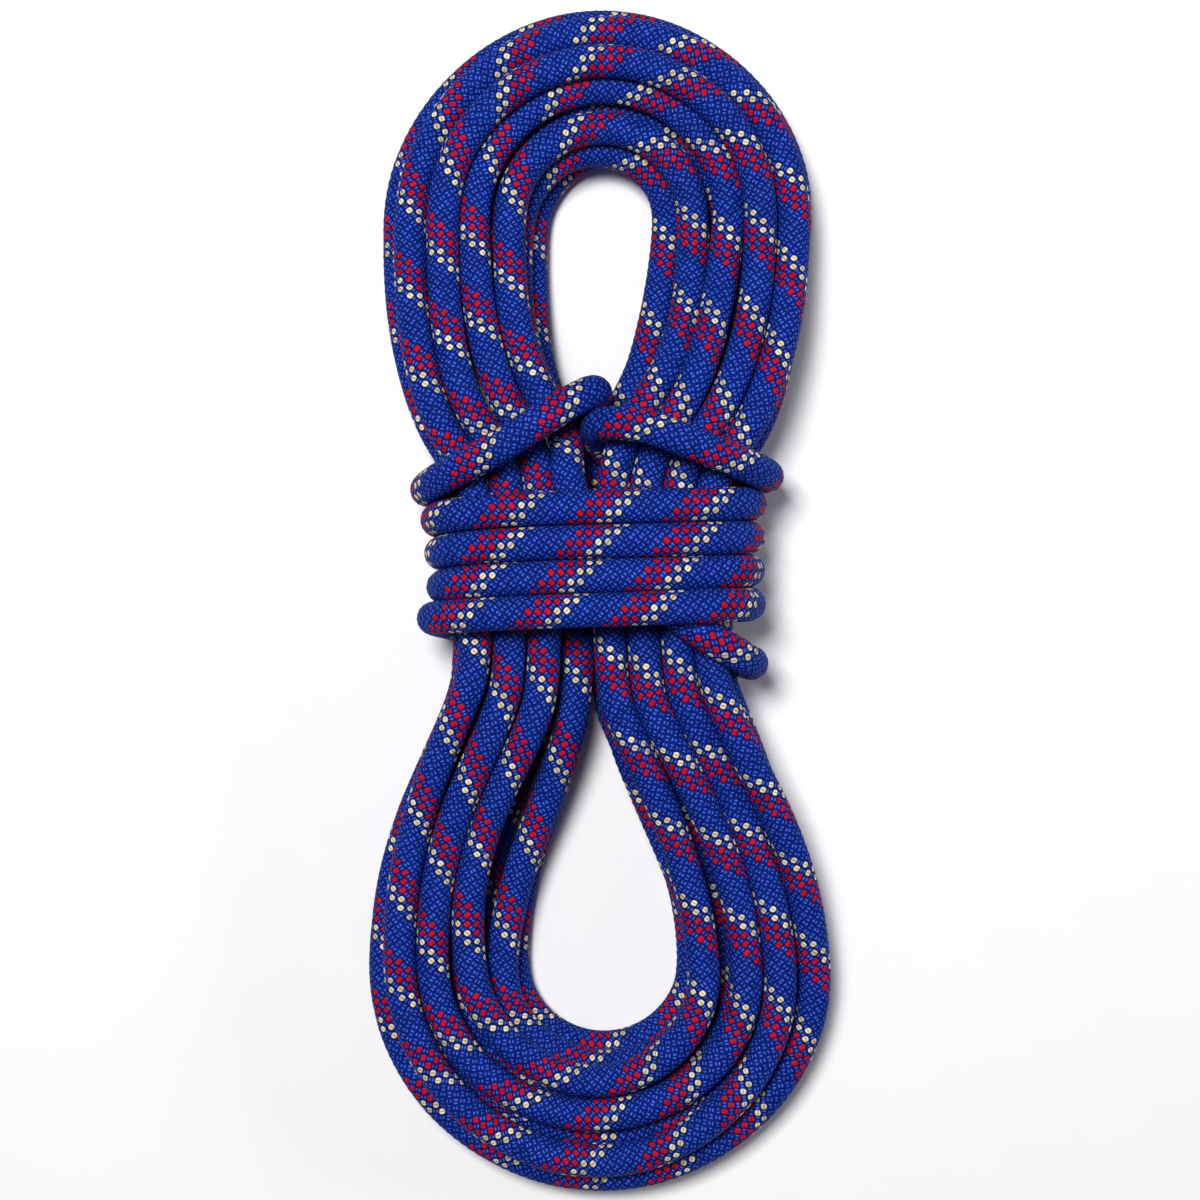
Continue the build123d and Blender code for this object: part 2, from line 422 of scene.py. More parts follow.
class Settler:
    """Lets the rope's strands press against each other, the floor and the wraps."""

    SAMPLES_PER_POINT = 4
    KEPT_ALONG = 2.6 * ROPE.diameter
    SEARCHED = 1.7 * ROPE.diameter
    STEPS_PER_SEARCH = 8
    FADE = 1.35
    STIFFNESS = 0.12
    GAIN = 1.2
    TINY = 1e-9

    def __init__(self, points: np.ndarray) -> None:
        """Take the control points in.

        Args:
            points: The route's control points, one in each row.
        """
        self.home = points.copy()
        self.points = points.copy()
        self.weights = self._weights(len(points))
        self.share = self.weights.sum(axis=0)[:, None] + self.TINY

    def _weights(self, count: int) -> np.ndarray:
        """Weights of the control points at evenly spread samples of the quadratic spline.

        Args:
            count: Number of control points.

        Returns:
            One row for each sample.
        """
        rows = []
        for run in range(count - 2):
            for step in range(self.SAMPLES_PER_POINT):
                t = (step + 0.5) / self.SAMPLES_PER_POINT
                row = np.zeros(count)
                row[run:run + 3] = (0.5 * (1 - t) ** 2, 0.5 + t - t * t, 0.5 * t * t)
                rows.append(row)
        return np.array(rows)

    def _pairs(self, samples: np.ndarray) -> np.ndarray:
        """Find the samples that are near each other but not along the rope.

        Args:
            samples: Points along the rope.

        Returns:
            The first and the second sample's number of each pair.
        """
        square = (samples ** 2).sum(axis=1)
        near = square[:, None] + square[None, :] - 2 * samples @ samples.T
        step = np.linalg.norm(np.diff(samples, axis=0), axis=1)
        along = np.concatenate([[0.0], np.cumsum(step)])
        apart = np.abs(along[:, None] - along[None, :]) > self.KEPT_ALONG
        first, second = np.where(np.triu((near < self.SEARCHED ** 2) & apart, 1))
        return np.stack([first, second])

    def _contact(self, pairs: np.ndarray) -> float:
        """Push overlapping strands apart and the lowest off the floor.

        Args:
            pairs: Samples that may touch.

        Returns:
            The deepest overlap before the push.
        """
        samples = self.weights @ self.points
        gap = samples[pairs[0]] - samples[pairs[1]]
        length = np.linalg.norm(gap, axis=1) + self.TINY
        depth = np.clip(ROPE.diameter - length, 0.0, None)
        push = gap / length[:, None] * depth[:, None] * 0.5
        moved = np.zeros_like(samples)
        touched = np.zeros(len(samples))
        np.add.at(moved, pairs[0], push)
        np.add.at(moved, pairs[1], -push)
        np.add.at(touched, pairs[0], depth > 0)
        np.add.at(touched, pairs[1], depth > 0)
        moved /= np.sqrt(np.maximum(touched, 1.0))[:, None]
        moved[:, 2] += np.clip(ROPE.radius - samples[:, 2], 0.0, None)
        self.points += self.GAIN * (self.weights.T @ moved) / self.share
        return float(depth.max(initial=0.0))

    def _fair(self) -> None:
        """Keep each bend close to the one that it started with."""
        def bend(points: np.ndarray) -> np.ndarray:
            """How far each point lies from the middle of its neighbours."""
            return (points[:-2] + points[2:]) / 2 - points[1:-1]
        self.points[1:-1] += self.STIFFNESS * (bend(self.points) - bend(self.home))

    def settle(self, steps: int, hold: float, sink: float) -> np.ndarray:
        """Run the settling, and lift the rope so that its lowest strand lies on the floor.

        Args:
            steps: Number of steps.
            hold: Share of the way back to its own place that a point goes in a step.
            sink: How far a point sinks in a step, in metres.

        Returns:
            The settled control points.
        """
        depth = 0.0
        for step in range(steps):
            if step % self.STEPS_PER_SEARCH == 0:
                pairs = self._pairs(self.weights @ self.points)
            ease = max(0.0, 1 - self.FADE * step / steps)
            self.points[:, :2] += hold * ease * (self.home - self.points)[:, :2]
            self.points[:, 2] -= sink * ease
            self._fair()
            depth = self._contact(pairs)
        self.points[:, 2] += ROPE.radius - float((self.weights @ self.points)[:, 2].min())
        LOG.info("settled in %d steps, deepest overlap left %.2f mm", steps, depth / MM)
        return self.points


class Centreline:
    """The rope's smooth centreline, read back from its spline."""

    RESOLUTION = 12
    POINTS_PER_PATH_POINT = 6

    def __init__(self, points: np.ndarray) -> None:
        """Run a spline along the control points and keep its line.

        Args:
            points: The settled control points.
        """
        curve = bpy.data.curves.new("centreline", "CURVE")
        curve.dimensions = "3D"
        curve.resolution_u = self.RESOLUTION
        spline = curve.splines.new("NURBS")
        spline.points.add(len(points) - 1)
        for slot, point in zip(spline.points, points):
            slot.co = (*point, 1.0)
        spline.order_u = 3
        spline.use_endpoint_u = True
        holder = bpy.data.objects.new("centreline", curve)
        mesh = bpy.data.meshes.new_from_object(holder)
        self.line = np.array([vertex.co[:] for vertex in mesh.vertices])
        bpy.data.objects.remove(holder)
        bpy.data.curves.remove(curve)
        bpy.data.meshes.remove(mesh)
        self.control_count = len(points)
        step = np.linalg.norm(np.diff(self.line, axis=0), axis=1)
        self.along = np.concatenate([[0.0], np.cumsum(step)])
        self.length = float(self.along[-1])

    def distance_at(self, control: float) -> float:
        """Find the middle of the run before a control point.

        Args:
            control: Number of the control point.

        Returns:
            Its distance along the rope.
        """
        if control <= 0:
            return 0.0
        if control >= self.control_count:
            return self.length
        share = (control - 1) / (self.control_count - 2)
        return float(np.interp(share * (len(self.line) - 1), np.arange(len(self.line)), self.along))

    def sample(self, distances: np.ndarray) -> np.ndarray:
        """Points at distances along the rope."""
        axes = [np.interp(distances, self.along, self.line[:, axis]) for axis in range(3)]
        return np.stack(axes, axis=1)

    def path(self) -> list[Vector]:
        """A few points of the line."""
        return [Vector(point) for point in self.line[::self.POINTS_PER_PATH_POINT]]


class Frames:
    """Rotation-minimising frames along the whole rope, so that stretches meet without a step."""

    STEP = 0.5 * MM
    SMOOTHED_EACH_WAY = 4

    def __init__(self, line: Centreline) -> None:
        """Carry one side direction along the line without twist.

        Args:
            line: The rope's centreline.
        """
        count = int(line.length / self.STEP)
        self.at = np.linspace(0.0, line.length, count)
        points = line.sample(self.at)
        width = 2 * self.SMOOTHED_EACH_WAY + 1
        kernel = np.ones(width) / width
        ends = [points[:1].repeat(self.SMOOTHED_EACH_WAY, 0), points[-1:].repeat(self.SMOOTHED_EACH_WAY, 0)]
        padded = np.concatenate([ends[0], points, ends[1]])
        axes = [np.convolve(padded[:, axis], kernel, "valid") for axis in range(3)]
        self.points = np.stack(axes, axis=1)
        tangent = np.gradient(self.points, axis=0)
        self.tangent = tangent / np.linalg.norm(tangent, axis=1)[:, None]
        self.side = np.zeros_like(self.tangent)
        side = np.cross(self.tangent[0], (0.0, 0.0, 1.0))
        self.side[0] = side / np.linalg.norm(side)
        for i in range(1, count):
            side = self.side[i - 1] - self.tangent[i] * self.side[i - 1].dot(self.tangent[i])
            self.side[i] = side / np.linalg.norm(side)

    def at_distances(self, distances: np.ndarray) -> tuple[np.ndarray, np.ndarray, np.ndarray]:
        """Read the frames between their own places.

        Args:
            distances: Distances along the rope.

        Returns:
            The points, the side directions and the up directions.
        """
        def pick(table: np.ndarray) -> np.ndarray:
            """A table's rows at the distances."""
            return np.stack([np.interp(distances, self.at, table[:, axis]) for axis in range(3)], axis=1)
        points, tangent, side = pick(self.points), pick(self.tangent), pick(self.side)
        tangent /= np.linalg.norm(tangent, axis=1)[:, None]
        side -= tangent * (side * tangent).sum(axis=1)[:, None]
        side /= np.linalg.norm(side, axis=1)[:, None]
        return points, side, np.cross(tangent, side)


@dataclass(frozen=True)
class Braid:
    """The sheath's lattice: paired yarns that run round the rope both ways, over one and under one."""

    pairs: int = 10
    lay: float = 27.0 * MM
    columns: int = 40
    rings_per_pair: int = 4
    relief: float = 0.22 * MM

    @property
    def ring_step(self) -> float:
        """Distance between rings of the mesh."""
        return self.lay / self.pairs / self.rings_per_pair

    def height(self, turns: np.ndarray, around: np.ndarray) -> np.ndarray:
        """Height of the weave, 1 on a crossing and 0 in the hole between four of them.

        Args:
            turns: Distance along the rope over the lay length.
            around: Share of the way round the rope.

        Returns:
            The heights.
        """
        left, right = self.pairs * (turns + around), self.pairs * (turns - around)
        return 0.5 + 0.25 * (np.cos(2 * np.pi * left) + np.cos(2 * np.pi * right))


BRAID = Braid()


def tube_mesh(name: str, frames: Frames, distances: np.ndarray, radii: np.ndarray) -> bpy.types.Object:
    """Make a tube whose surface follows a table of radii.

    Args:
        name: Name of the new object.
        frames: Frames along the rope.
        distances: Where the rings lie along the rope.
        radii: One row of radii for each ring.

    Returns:
        The new object, with smooth faces and a UV map that counts lays along it and turns round it.
    """
    rings, columns = radii.shape
    points, side, up = frames.at_distances(distances)
    around = np.arange(columns) / columns
    across, rise = np.cos(2 * np.pi * around), np.sin(2 * np.pi * around)
    outward = side[:, None, :] * across[None, :, None] + up[:, None, :] * rise[None, :, None]
    places = (points[:, None, :] + outward * radii[:, :, None]).reshape(-1, 3)
    ring, column = np.meshgrid(np.arange(rings - 1), np.arange(columns), indexing="ij")
    after = (column + 1) % columns
    corners = [ring * columns + column, ring * columns + after, (ring + 1) * columns + after]
    corners.append((ring + 1) * columns + column)
    faces = np.stack(corners, axis=-1).reshape(-1, 4)
    mesh = bpy.data.meshes.new(name)
    mesh.from_pydata(places.tolist(), [], faces.tolist())
    layer = mesh.uv_layers.new(name="along")
    first, second = distances[ring] / BRAID.lay, distances[ring + 1] / BRAID.lay
    left, right = column / columns, (column + 1) / columns
    uv = np.stack([np.stack([first, left], -1), np.stack([first, right], -1),
                   np.stack([second, right], -1), np.stack([second, left], -1)], axis=2)
    layer.data.foreach_set("uv", uv.reshape(-1).astype(np.float32))
    mesh.polygons.foreach_set("use_smooth", np.ones(len(faces), dtype=bool))
    mesh.update()
    piece = bpy.data.objects.new(name, mesh)
    bpy.context.scene.collection.objects.link(piece)
    return piece


def close_ends(piece: bpy.types.Object) -> None:
    """Close a tube's two open ends with a face each.

    Args:
        piece: The tube.
    """
    shape = bmesh.new()
    shape.from_mesh(piece.data)
    edges = [edge for edge in shape.edges if edge.is_boundary]
    bmesh.ops.holes_fill(shape, edges=edges, sides=0)
    bmesh.ops.recalc_face_normals(shape, faces=shape.faces)
    shape.to_mesh(piece.data)
    shape.free()


class NodeTree:
    """A small helper that builds shader nodes by kind and joins them."""

    def __init__(self, tree: bpy.types.NodeTree) -> None:
        """Work in a node tree."""
        self.tree = tree

    def add(self, kind: str, *inputs: Input, **settings: object) -> bpy.types.Node:
        """Add a node.

        Args:
            kind: The node's type name.
            inputs: Its inputs in order, each a socket, a value or None to leave it.
            settings: Its properties.

        Returns:
            The new node.
        """
        node = self.tree.nodes.new(kind)
        for key, value in settings.items():
            setattr(node, key, value)
        for slot, value in zip(node.inputs, inputs):
            self.feed(slot, value)
        return node

    def feed(self, slot: bpy.types.NodeSocket, value: Input) -> None:
        """Join an input to another socket, set it to a value, or leave it as it is.

        Args:
            slot: The input.
            value: A socket, a value or None.
        """
        if isinstance(value, bpy.types.NodeSocket):
            self.tree.links.new(value, slot)
        elif value is not None:
            slot.default_value = value

    def math(self, operation: str, *inputs: Input) -> bpy.types.NodeSocket:
        """Add a maths node and return its result."""
        return self.add("ShaderNodeMath", *inputs, operation=operation).outputs[0]

    def mix(self, share: Input, first: Input, second: Input) -> bpy.types.NodeSocket:
        """Mix two colours.

        Args:
            share: How much of the second colour there is.
            first: Colour at a share of 0.
            second: Colour at a share of 1.

        Returns:
            The mixed colour.
        """
        node = self.tree.nodes.new("ShaderNodeMix")
        node.data_type = "RGBA"
        for slot, value in ((node.inputs[0], share), (node.inputs[6], first), (node.inputs[7], second)):
            self.feed(slot, value)
        return node.outputs[2]

    def ramp(self, value: bpy.types.NodeSocket, low: float, high: float) -> bpy.types.NodeSocket:
        """Map a value from low..high to 0..1 with a soft start and end."""
        node = self.add("ShaderNodeMapRange", value, low, high, 0.0, 1.0, interpolation_type="SMOOTHSTEP")
        return node.outputs[0]


def new_material(name: str) -> tuple[bpy.types.Material, NodeTree, bpy.types.Node]:
    """Start a material.

    Args:
        name: Its name.

    Returns:
        The material, its node tree and its shader.
    """
    material = bpy.data.materials.new(name)
    material.use_nodes = True
    return material, NodeTree(material.node_tree), material.node_tree.nodes["Principled BSDF"]


@dataclass(frozen=True)
class WovenFinish:
    """Woven nylon yarns: blue, with a band of red and tan tracers, painted shade between the strands and a
    painted highlight on the blue crowns, on a shader with a soft sheen.
    """

    blue: Colour = (0.003, 0.018, 0.21, 1.0)
    # Painted highlight: the colour of the blue yarns where light would catch their crowns
    blue_painted_highlight: Colour = (0.055, 0.15, 0.78, 1.0)
    # Painted shade: the colour of the blue in the gaps between the strands and in the holes of the weave
    blue_painted_shade: Colour = (0.0004, 0.0015, 0.016, 1.0)
    red: Colour = (0.54, 0.006, 0.026, 1.0)
    # Painted shade: the colour of the red yarns away from their lit crowns
    red_painted_shade: Colour = (0.12, 0.001, 0.011, 1.0)
    tan: Colour = (0.82, 0.71, 0.48, 1.0)
    # Painted shade: the colour of the tan yarns along the crease between their two strands
    tan_painted_shade: Colour = (0.42, 0.32, 0.17, 1.0)
    red_pairs: int = 3
    tan_pairs: int = 2
    wobble: float = 0.12
    wobble_scale: float = 40.0
    crown_reach: float = 0.9
    pick_squareness: float = 2.6
    tone_change: float = 0.34
    fuzz: float = 0.12
    bump_strength: float = 0.55
    bump_distance: float = 0.35 * MM
    sheen: float = 0.004
    sheen_roughness: float = 0.35
    specular: float = 0.04

    def _group(self) -> bpy.types.ShaderNodeTree:
        """The weave's colour, height and roughness, worked out from the UV map that runs along the rope.

        Returns:
            The node group.
        """
        group = bpy.data.node_groups.new("Braided sheath", "ShaderNodeTree")
        for name, kind in (("Colour", "Color"), ("Height", "Float"), ("Roughness", "Float")):
            group.interface.new_socket(name, in_out="OUTPUT", socket_type=f"NodeSocket{kind}")
        n = NodeTree(group)
        pairs = float(BRAID.pairs)
        place = n.add("ShaderNodeUVMap", uv_map="along").outputs[0]
        parts = n.add("ShaderNodeSeparateXYZ", place)
        turns, around = parts.outputs[0], parts.outputs[1]
        wobble = n.add("ShaderNodeTexNoise", place, None, self.wobble_scale, 1.0).outputs[0]
        wobble = n.math("MULTIPLY", n.math("SUBTRACT", wobble, 0.5), self.wobble)
        left = n.math("ADD", n.math("MULTIPLY", n.math("ADD", turns, around), pairs), wobble)
        right = n.math("ADD", n.math("MULTIPLY", n.math("SUBTRACT", turns, around), pairs), wobble)
        left_yarn, right_yarn = n.math("ROUND", left), n.math("ROUND", right)
        left_off, right_off = n.math("SUBTRACT", left, left_yarn), n.math("SUBTRACT", right, right_yarn)
        over = n.math("FLOORED_MODULO", n.math("ADD", left_yarn, right_yarn), 2.0)
        left_on_top = n.math("LESS_THAN", over, 0.5)

        # Which yarn: the red pairs come first and the tan ones beside them, and the rest are blue
        number = n.math("FLOORED_MODULO", left_yarn, pairs)
        is_red = n.math("MULTIPLY", n.math("LESS_THAN", number, self.red_pairs - 0.5), left_on_top)
        last_tracer = self.red_pairs + self.tan_pairs - 0.5
        is_tracer = n.math("MULTIPLY", n.math("LESS_THAN", number, last_tracer), left_on_top)
        is_tan = n.math("SUBTRACT", is_tracer, is_red)

        # Across the yarn that is on top, two strands side by side, and along it, its crown
        across = n.add("ShaderNodeMix", left_on_top, None, right_off, left_off).outputs[0]
        along = n.add("ShaderNodeMix", left_on_top, None, left_off, right_off).outputs[0]
        across, along = n.math("ABSOLUTE", across), n.math("ABSOLUTE", along)
        strand = n.math("ABSOLUTE", n.math("SINE", n.math("MULTIPLY", across, 2 * math.pi)))
        crown = n.math("COSINE", n.math("MULTIPLY", along, math.pi * self.crown_reach))
        power = self.pick_squareness
        from_middle = n.math("ADD", n.math("POWER", across, power), n.math("POWER", along, power))
        from_middle = n.math("POWER", from_middle, 1 / power)
        pick = n.ramp(from_middle, 0.52, 0.4)
        height = n.math("MULTIPLY", n.math("ADD", n.math("MULTIPLY", strand, 0.45), 0.55), crown)
        height = n.math("MULTIPLY", height, n.math("ADD", n.math("MULTIPLY", pick, 0.6), 0.4))

        # Fine fibres that run along the yarns, and a change of tone from yarn to yarn
        yarn_number = n.math("ADD", left_yarn, n.math("MULTIPLY", right_yarn, 7.3))
        fibre_place = n.add("ShaderNodeCombineXYZ", n.math("MULTIPLY", across, 9.0),
                            n.math("MULTIPLY", along, 2.0), n.math("MULTIPLY", yarn_number, 3.1))
        fibre = n.add("ShaderNodeTexNoise", fibre_place.outputs[0], None, 1.0, 2.0).outputs[0]
        yarn_place = n.add("ShaderNodeCombineXYZ", left_yarn, right_yarn, left_on_top)
        tone = n.add("ShaderNodeTexWhiteNoise", yarn_place.outputs[0], noise_dimensions="3D").outputs[0]

        # Each colour, from painted shade between the strands to its lit colour on their crowns, with a
        # painted highlight on the blue
        # light is painted light and shade across each yarn: bright on its two strands, with a little fibre
        # noise, dark between and beside them
        light = n.math("ADD", n.math("MULTIPLY", strand, 0.55), n.math("MULTIPLY", fibre, 0.6))
        # Painted highlight: on the brightest part of each strand's crown the blue turns to the painted
        # highlight colour
        painted_highlight_mask = n.ramp(n.math("MULTIPLY", light, crown), 0.55, 0.88)
        # Painted shade: the blue darkens towards the gaps between and beside the two strands of each yarn
        blue = n.mix(n.math("ADD", 0.45, n.math("MULTIPLY", light, 0.55)), self.blue_painted_shade, self.blue)
        blue = n.mix(painted_highlight_mask, blue, self.blue_painted_highlight)
        # Painted shade: the red darkens away from the crowns and between the strands
        red = n.mix(n.ramp(n.math("MULTIPLY", light, crown), 0.1, 0.6), self.red_painted_shade, self.red)
        # Painted shade of the blue fills the holes round each red pick
        red = n.mix(pick, self.blue_painted_shade, red)
        # Painted shade along the crease between the two strands of each tan pick, lighter towards the
        # ridges
        from_line = n.math("ADD", across, n.math("MULTIPLY", along, 0.25))
        from_line = n.math("ADD", from_line, n.math("MULTIPLY", n.math("SUBTRACT", tone, 0.5), 0.1))
        tan = n.mix(n.ramp(from_line, 0.04, 0.3), self.tan_painted_shade, self.tan)
        # Painted shade of the blue fills the holes round each tan pick
        tan = n.mix(n.ramp(from_middle, 0.47, 0.36), self.blue_painted_shade, tan)
        colour = n.mix(is_red, n.mix(is_tan, blue, tan), red)
        value = n.math("ADD", n.math("MULTIPLY", tone, self.tone_change), 1 - self.tone_change / 2)
        toned = n.add("ShaderNodeHueSaturation", 0.5, 1.0, value, 1.0, colour).outputs[0]
        weave, hairs = n.math("MULTIPLY", height, 1 - self.fuzz), n.math("MULTIPLY", fibre, self.fuzz)
        roughness = n.math("ADD", 0.5, n.math("MULTIPLY", fibre, 0.25))
        out = group.nodes.new("NodeGroupOutput")
        for socket, value in zip(out.inputs, (toned, n.math("ADD", weave, hairs), roughness)):
            n.feed(socket, value)
        return group

    def material(self) -> bpy.types.Material:
        """The braid group on a shader.

        Returns:
            The material.
        """
        material, n, shader = new_material("Woven sheath")
        braid = n.add("ShaderNodeGroup", node_tree=self._group())
        bump = n.add("ShaderNodeBump")
        n.feed(bump.inputs["Strength"], self.bump_strength)
        n.feed(bump.inputs["Distance"], self.bump_distance)
        n.feed(bump.inputs["Height"], braid.outputs["Height"])
        n.feed(shader.inputs["Normal"], bump.outputs[0])
        n.feed(shader.inputs["Base Color"], braid.outputs["Colour"])
        n.feed(shader.inputs["Roughness"], braid.outputs["Roughness"])
        n.feed(shader.inputs["Sheen Weight"], self.sheen)
        n.feed(shader.inputs["Sheen Roughness"], self.sheen_roughness)
        n.feed(shader.inputs["Specular IOR Level"], self.specular)
        return material


@dataclass(frozen=True)
class TwistedFinish:
    """Undyed twisted cords, seen only where the rope is cut."""

    cords: int = 9
    # Painted shade: the colour in the grooves between the cords
    dark: Colour = (0.3, 0.28, 0.24, 1.0)
    light: Colour = (0.86, 0.85, 0.8, 1.0)
    fibre_scale: float = 240.0

    def material(self) -> bpy.types.Material:
        """Painted shade in the lines between the cords, and a fine fibre over them.

        Returns:
            The material.
        """
        material, n, shader = new_material("Twisted core")
        place = n.add("ShaderNodeUVMap", uv_map="along").outputs[0]
        parts = n.add("ShaderNodeSeparateXYZ", place)
        twist = n.math("ADD", n.math("MULTIPLY", parts.outputs[1], float(self.cords)), parts.outputs[0])
        cord = n.math("ABSOLUTE", n.math("SINE", n.math("MULTIPLY", twist, math.pi)))
        fibre = n.add("ShaderNodeTexNoise", place, None, self.fibre_scale, 2.0).outputs[0]
        # Painted shade: the colour darkens in the grooves between the cords
        tone = n.math("MULTIPLY", cord, n.math("ADD", 0.6, n.math("MULTIPLY", fibre, 0.6)))
        n.feed(shader.inputs["Base Color"], n.mix(tone, self.dark, self.light))
        n.feed(shader.inputs["Roughness"], n.math("ADD", 0.5, n.math("MULTIPLY", fibre, 0.3)))
        return material


@dataclass(frozen=True)
class MouldedFinish:
    """Shrunk or melted plastic with a faint mottle."""

    name: str
    dark: Colour
    light: Colour
    roughness: float
    mottle_scale: float = 900.0
    bump_distance: float = 0.1 * MM

    def material(self) -> bpy.types.Material:
        """The mottle in the colour, the roughness and a fine bump.

        Returns:
            The material.
        """
        material, n, shader = new_material(self.name)
        place = n.add("ShaderNodeTexCoord").outputs["Object"]
        mottle = n.add("ShaderNodeTexNoise", place, None, self.mottle_scale, 3.0).outputs[0]
        n.feed(shader.inputs["Base Color"], n.mix(mottle, self.dark, self.light))
        n.feed(shader.inputs["Roughness"], n.math("ADD", self.roughness, n.math("MULTIPLY", mottle, 0.2)))
        bump = n.add("ShaderNodeBump")
        n.feed(bump.inputs["Distance"], self.bump_distance)
        n.feed(bump.inputs["Height"], mottle)
        n.feed(shader.inputs["Normal"], bump.outputs[0])
        return material


@dataclass(frozen=True)
class FloorFinish:
    """A white sweep with a faint tooth."""

    dark: Colour = (0.95, 0.95, 0.95, 1.0)
    light: Colour = (0.97, 0.97, 0.97, 1.0)
    grain_scale: float = 60.0
    roughness: float = 0.8

    def material(self) -> bpy.types.Material:
        """The grain in the colour.

        Returns:
            The material.
        """
        material, n, shader = new_material("Studio floor")
        place = n.add("ShaderNodeTexCoord").outputs["Object"]
        grain = n.add("ShaderNodeTexNoise", place, None, self.grain_scale, 2.0).outputs[0]
        n.feed(shader.inputs["Base Color"], n.mix(grain, self.dark, self.light))
        n.feed(shader.inputs["Roughness"], self.roughness)
        return material


class Slot(Enum):
    """Material slots, each naming one of the rope's materials."""

    SHEATH = "sheath"
    CORE = "core"
    SLEEVE = "sleeve"
    TIP = "tip"


class Wardrobe:
    """Holds the rope's materials and dresses its pieces."""

    def __init__(self) -> None:
        """Make the four materials."""
        sleeve = MouldedFinish("Shrunk sleeve", (0.01, 0.01, 0.012, 1), (0.035, 0.035, 0.04, 1), 0.35)
        tip = MouldedFinish("Melted tip", (0.004, 0.012, 0.08, 1), (0.02, 0.04, 0.2, 1), 0.25)
        self.materials = {
            Slot.SHEATH: WovenFinish().material(),
            Slot.CORE: TwistedFinish().material(),
            Slot.SLEEVE: sleeve.material(),
            Slot.TIP: tip.material(),
        }

    def dress(self, piece: bpy.types.Object, slot: Slot, *nodes: str) -> bpy.types.Object:
        """Give a piece the material of its slot and its body, hide the CAD nodes that it stands for, and
        log it.

        Args:
            piece: The piece.
            slot: Its material slot.
            nodes: Names of the CAD nodes.

        Returns:
            The piece.
        """
        piece.data.materials.append(self.materials[slot])
        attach(piece, "root")
        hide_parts(*nodes)
        LOG.info("made %s, %d faces, for %s", piece.name, len(piece.data.polygons), ", ".join(nodes))
        return piece


@dataclass
class RopeEnd:
    """A rope's end: a shrunk sleeve round it, and a melted tip that seals it.

    The tables count inwards from the end, in millimetres.
    """

    name: str
    line: Centreline
    frames: Frames
    tip_length: float = 3.0 * MM
    sleeve_places: tuple[float, ...] = (0.4, 0.4, 0.8, 1.6, 11.2, 11.7, 12.0, 12.0)
    sleeve_swell: tuple[float, ...] = (0.0, 0.25, 0.38, 0.4, 0.4, 0.3, 0.15, 0.0)
    sleeve_columns: int = 48
    sleeve_gap: float = 0.05 * MM
    sleeve_wave: float = 0.05 * MM
    sleeve_waves: int = 10
    tip_places: tuple[float, ...] = (0.0, 0.15, 0.5, 1.2, 2.2, 3.0, 3.6)
    tip_radii: tuple[float, ...] = (2.9, 3.7, 4.4, 4.85, 4.95, 4.9, 4.7)
    tip_columns: int = 32
    tip_lump: float = 0.12 * MM
    tip_lumps: int = 5

    def _along(self, inwards: np.ndarray) -> np.ndarray:
        """Distances along the whole rope of places counted in from this end."""
        return inwards if self.name == "start" else self.line.length - inwards[::-1]

    def _in_order(self, table: np.ndarray) -> np.ndarray:
        """A table counted in from this end, in the order of the whole rope."""
        return table if self.name == "start" else table[::-1]

    def sleeve(self) -> bpy.types.Object:
        """The shrunk sleeve, a thin wall with the braid's ribs showing through it.

        Returns:
            The sleeve.
        """
        places, swell = np.array(self.sleeve_places) * MM, np.array(self.sleeve_swell) * MM
        around = np.arange(self.sleeve_columns) / self.sleeve_columns
        wave = self.sleeve_wave * np.cos(2 * np.pi * around * self.sleeve_waves)
        radii = (ROPE.radius + self.sleeve_gap + self._in_order(swell))[:, None] + wave[None, :]
        return tube_mesh(f"end_sleeve_{self.name}", self.frames, self._along(places), radii)

    def tip(self) -> bpy.types.Object:
        """The melted tip, a lumpy dome.

        Returns:
            The tip.
        """
        places, crown = np.array(self.tip_places) * MM, np.array(self.tip_radii) * MM
        around = np.arange(self.tip_columns) / self.tip_columns
        lumps = self.tip_lump * np.sin(2 * np.pi * around * self.tip_lumps)
        radii = self._in_order(crown)[:, None] + lumps[None, :]
        tip = tube_mesh(f"melted_tip_{self.name}", self.frames, self._along(places), radii)
        close_ends(tip)
        return tip


